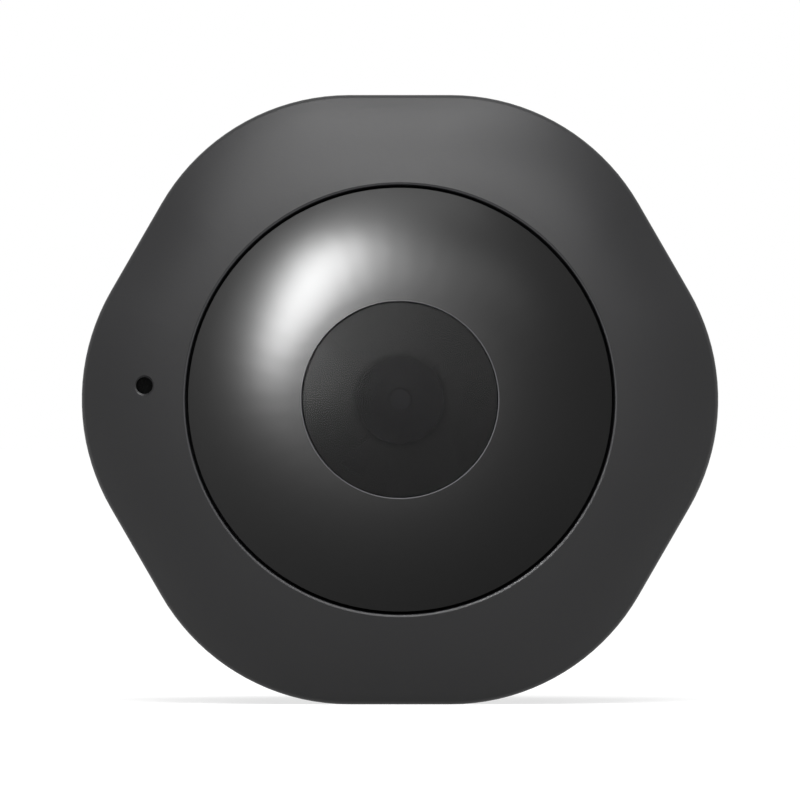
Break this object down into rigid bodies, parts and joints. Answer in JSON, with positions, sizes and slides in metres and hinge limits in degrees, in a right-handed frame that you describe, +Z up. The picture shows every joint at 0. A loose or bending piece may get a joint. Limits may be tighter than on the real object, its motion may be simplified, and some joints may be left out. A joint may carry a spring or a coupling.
{
  "type": "mini security camera",
  "caption": "Pocket security camera: rounded hexagonal housing, convex dark dome round a smoked lens window, microphone hole, side ports and a magnet in its flat back.",
  "frame": {"origin": "centre of the overall box, at the lower flat that the camera stands on", "axes": "+Z up, -Y the way the lens looks, +Y out of the magnetic back, +X to the right as the lens side is seen"},
  "size_m": [0.045, 0.028, 0.043],
  "materials": {
    "shell_abs": "moulded ABS, fine spark texture",
    "dome_polycarbonate": "polished moulded polycarbonate",
    "window_acrylic": "smoked clear acrylic",
    "mask_ink": "screen-printed ink film",
    "adhesive": "double-sided foam adhesive",
    "screw_steel": "black zinc plated steel",
    "barrel_aluminium": "black anodised",
    "lens_glass": "polished and coated",
    "filter_glass": "coated filter glass",
    "holder_plastic": "moulded glass-filled plastic",
    "sensor_package": "sensor package under cover glass",
    "baffle_rubber": "moulded silicone",
    "board_laminate": "solder mask on glass laminate",
    "lamp_epoxy": "lamp package with clear lens",
    "header_plastic": "moulded nylon with plated pins",
    "chip_epoxy": "moulded epoxy",
    "shield_can": "tinned steel shield",
    "antenna_ceramic": "glazed ceramic chip",
    "inductor_ferrite": "pressed ferrite",
    "capacitor_ceramic": "ceramic with tinned ends",
    "socket_steel": "nickel plated sheet",
    "socket_plastic": "moulded high-temperature plastic",
    "contact_gold": "gold plated contacts",
    "card_plastic": "moulded card body",
    "button_abs": "moulded ABS",
    "switch_stem": "moulded nylon",
    "light_pipe_acrylic": "clear moulded acrylic",
    "boot_rubber": "moulded silicone",
    "capsule_aluminium": "drawn can",
    "lead_pvc": "stranded lead in soft insulation",
    "battery_foil": "laminated pouch foil",
    "spacer_plastic": "die-cut plastic plate",
    "tape": "tissue adhesive tape",
    "magnet_nickel": "nickel plated magnet",
    "cover_abs": "moulded ABS, smooth"
  },
  "bodies": {
    "housing": {"front_shell": "shell_abs", "rear_shell": "shell_abs", "housing_screws": "screw_steel", "front_window": "window_acrylic", "window_mask": "mask_ink", "lens_dome": "dome_polycarbonate", "dome_adhesive": "adhesive", "lens_barrel": "barrel_aluminium", "lens_front_element": "lens_glass", "lens_rear_element": "lens_glass", "lens_holder": "holder_plastic", "ir_cut_filter": "filter_glass", "image_sensor": "sensor_package", "light_baffle": "baffle_rubber", "lamp_board": "board_laminate", "lamp_board_screws": "screw_steel", "infrared_lamps": "lamp_epoxy", "light_sensor": "lamp_epoxy", "board_link": "header_plastic", "main_board": "board_laminate", "processor": "chip_epoxy", "wifi_module": "shield_can", "wifi_antenna": "antenna_ceramic", "flash_memory": "chip_epoxy", "power_inductor": "inductor_ferrite", "board_passives": "capacitor_ceramic", "usb_socket": "socket_steel", "usb_tongue": "socket_plastic", "usb_contacts": "contact_gold", "card_socket_base": "socket_plastic", "card_socket_cover": "socket_steel", "power_switch": "socket_steel", "reset_switch": "socket_steel", "status_led": "lamp_epoxy", "light_pipe": "light_pipe_acrylic", "mic_boot": "boot_rubber", "microphone": "capsule_aluminium", "mic_leads": "lead_pvc", "battery_cell": "battery_foil", "battery_guard_board": "board_laminate", "battery_spacer": "spacer_plastic", "battery_tape": "tape", "battery_connector": "header_plastic", "battery_leads": "lead_pvc", "magnet": "magnet_nickel", "magnet_cover": "cover_abs"},
    "power_button_body": {"power_button": "button_abs", "power_switch_stem": "switch_stem"},
    "reset_stem_body": {"reset_switch_stem": "switch_stem"},
    "memory_card_body": {"memory_card": "card_plastic"}
  },
  "joints": [
    {"name": "power_button_press", "type": "slide", "parent": "housing", "child": "power_button_body", "axis": [0, 0, -1], "range_m": [0, 0.00025], "stiffness_N_per_m": 300, "springref_m": -0.001},
    {"name": "reset_press", "type": "slide", "parent": "housing", "child": "reset_stem_body", "axis": [-1, 0, 0], "range_m": [0, 0.0002], "stiffness_N_per_m": 300, "springref_m": -0.001},
    {"name": "memory_card_slide", "type": "slide", "parent": "housing", "child": "memory_card_body", "axis": [-1, 0, 0], "range_m": [0, 0.016]}
  ]
}
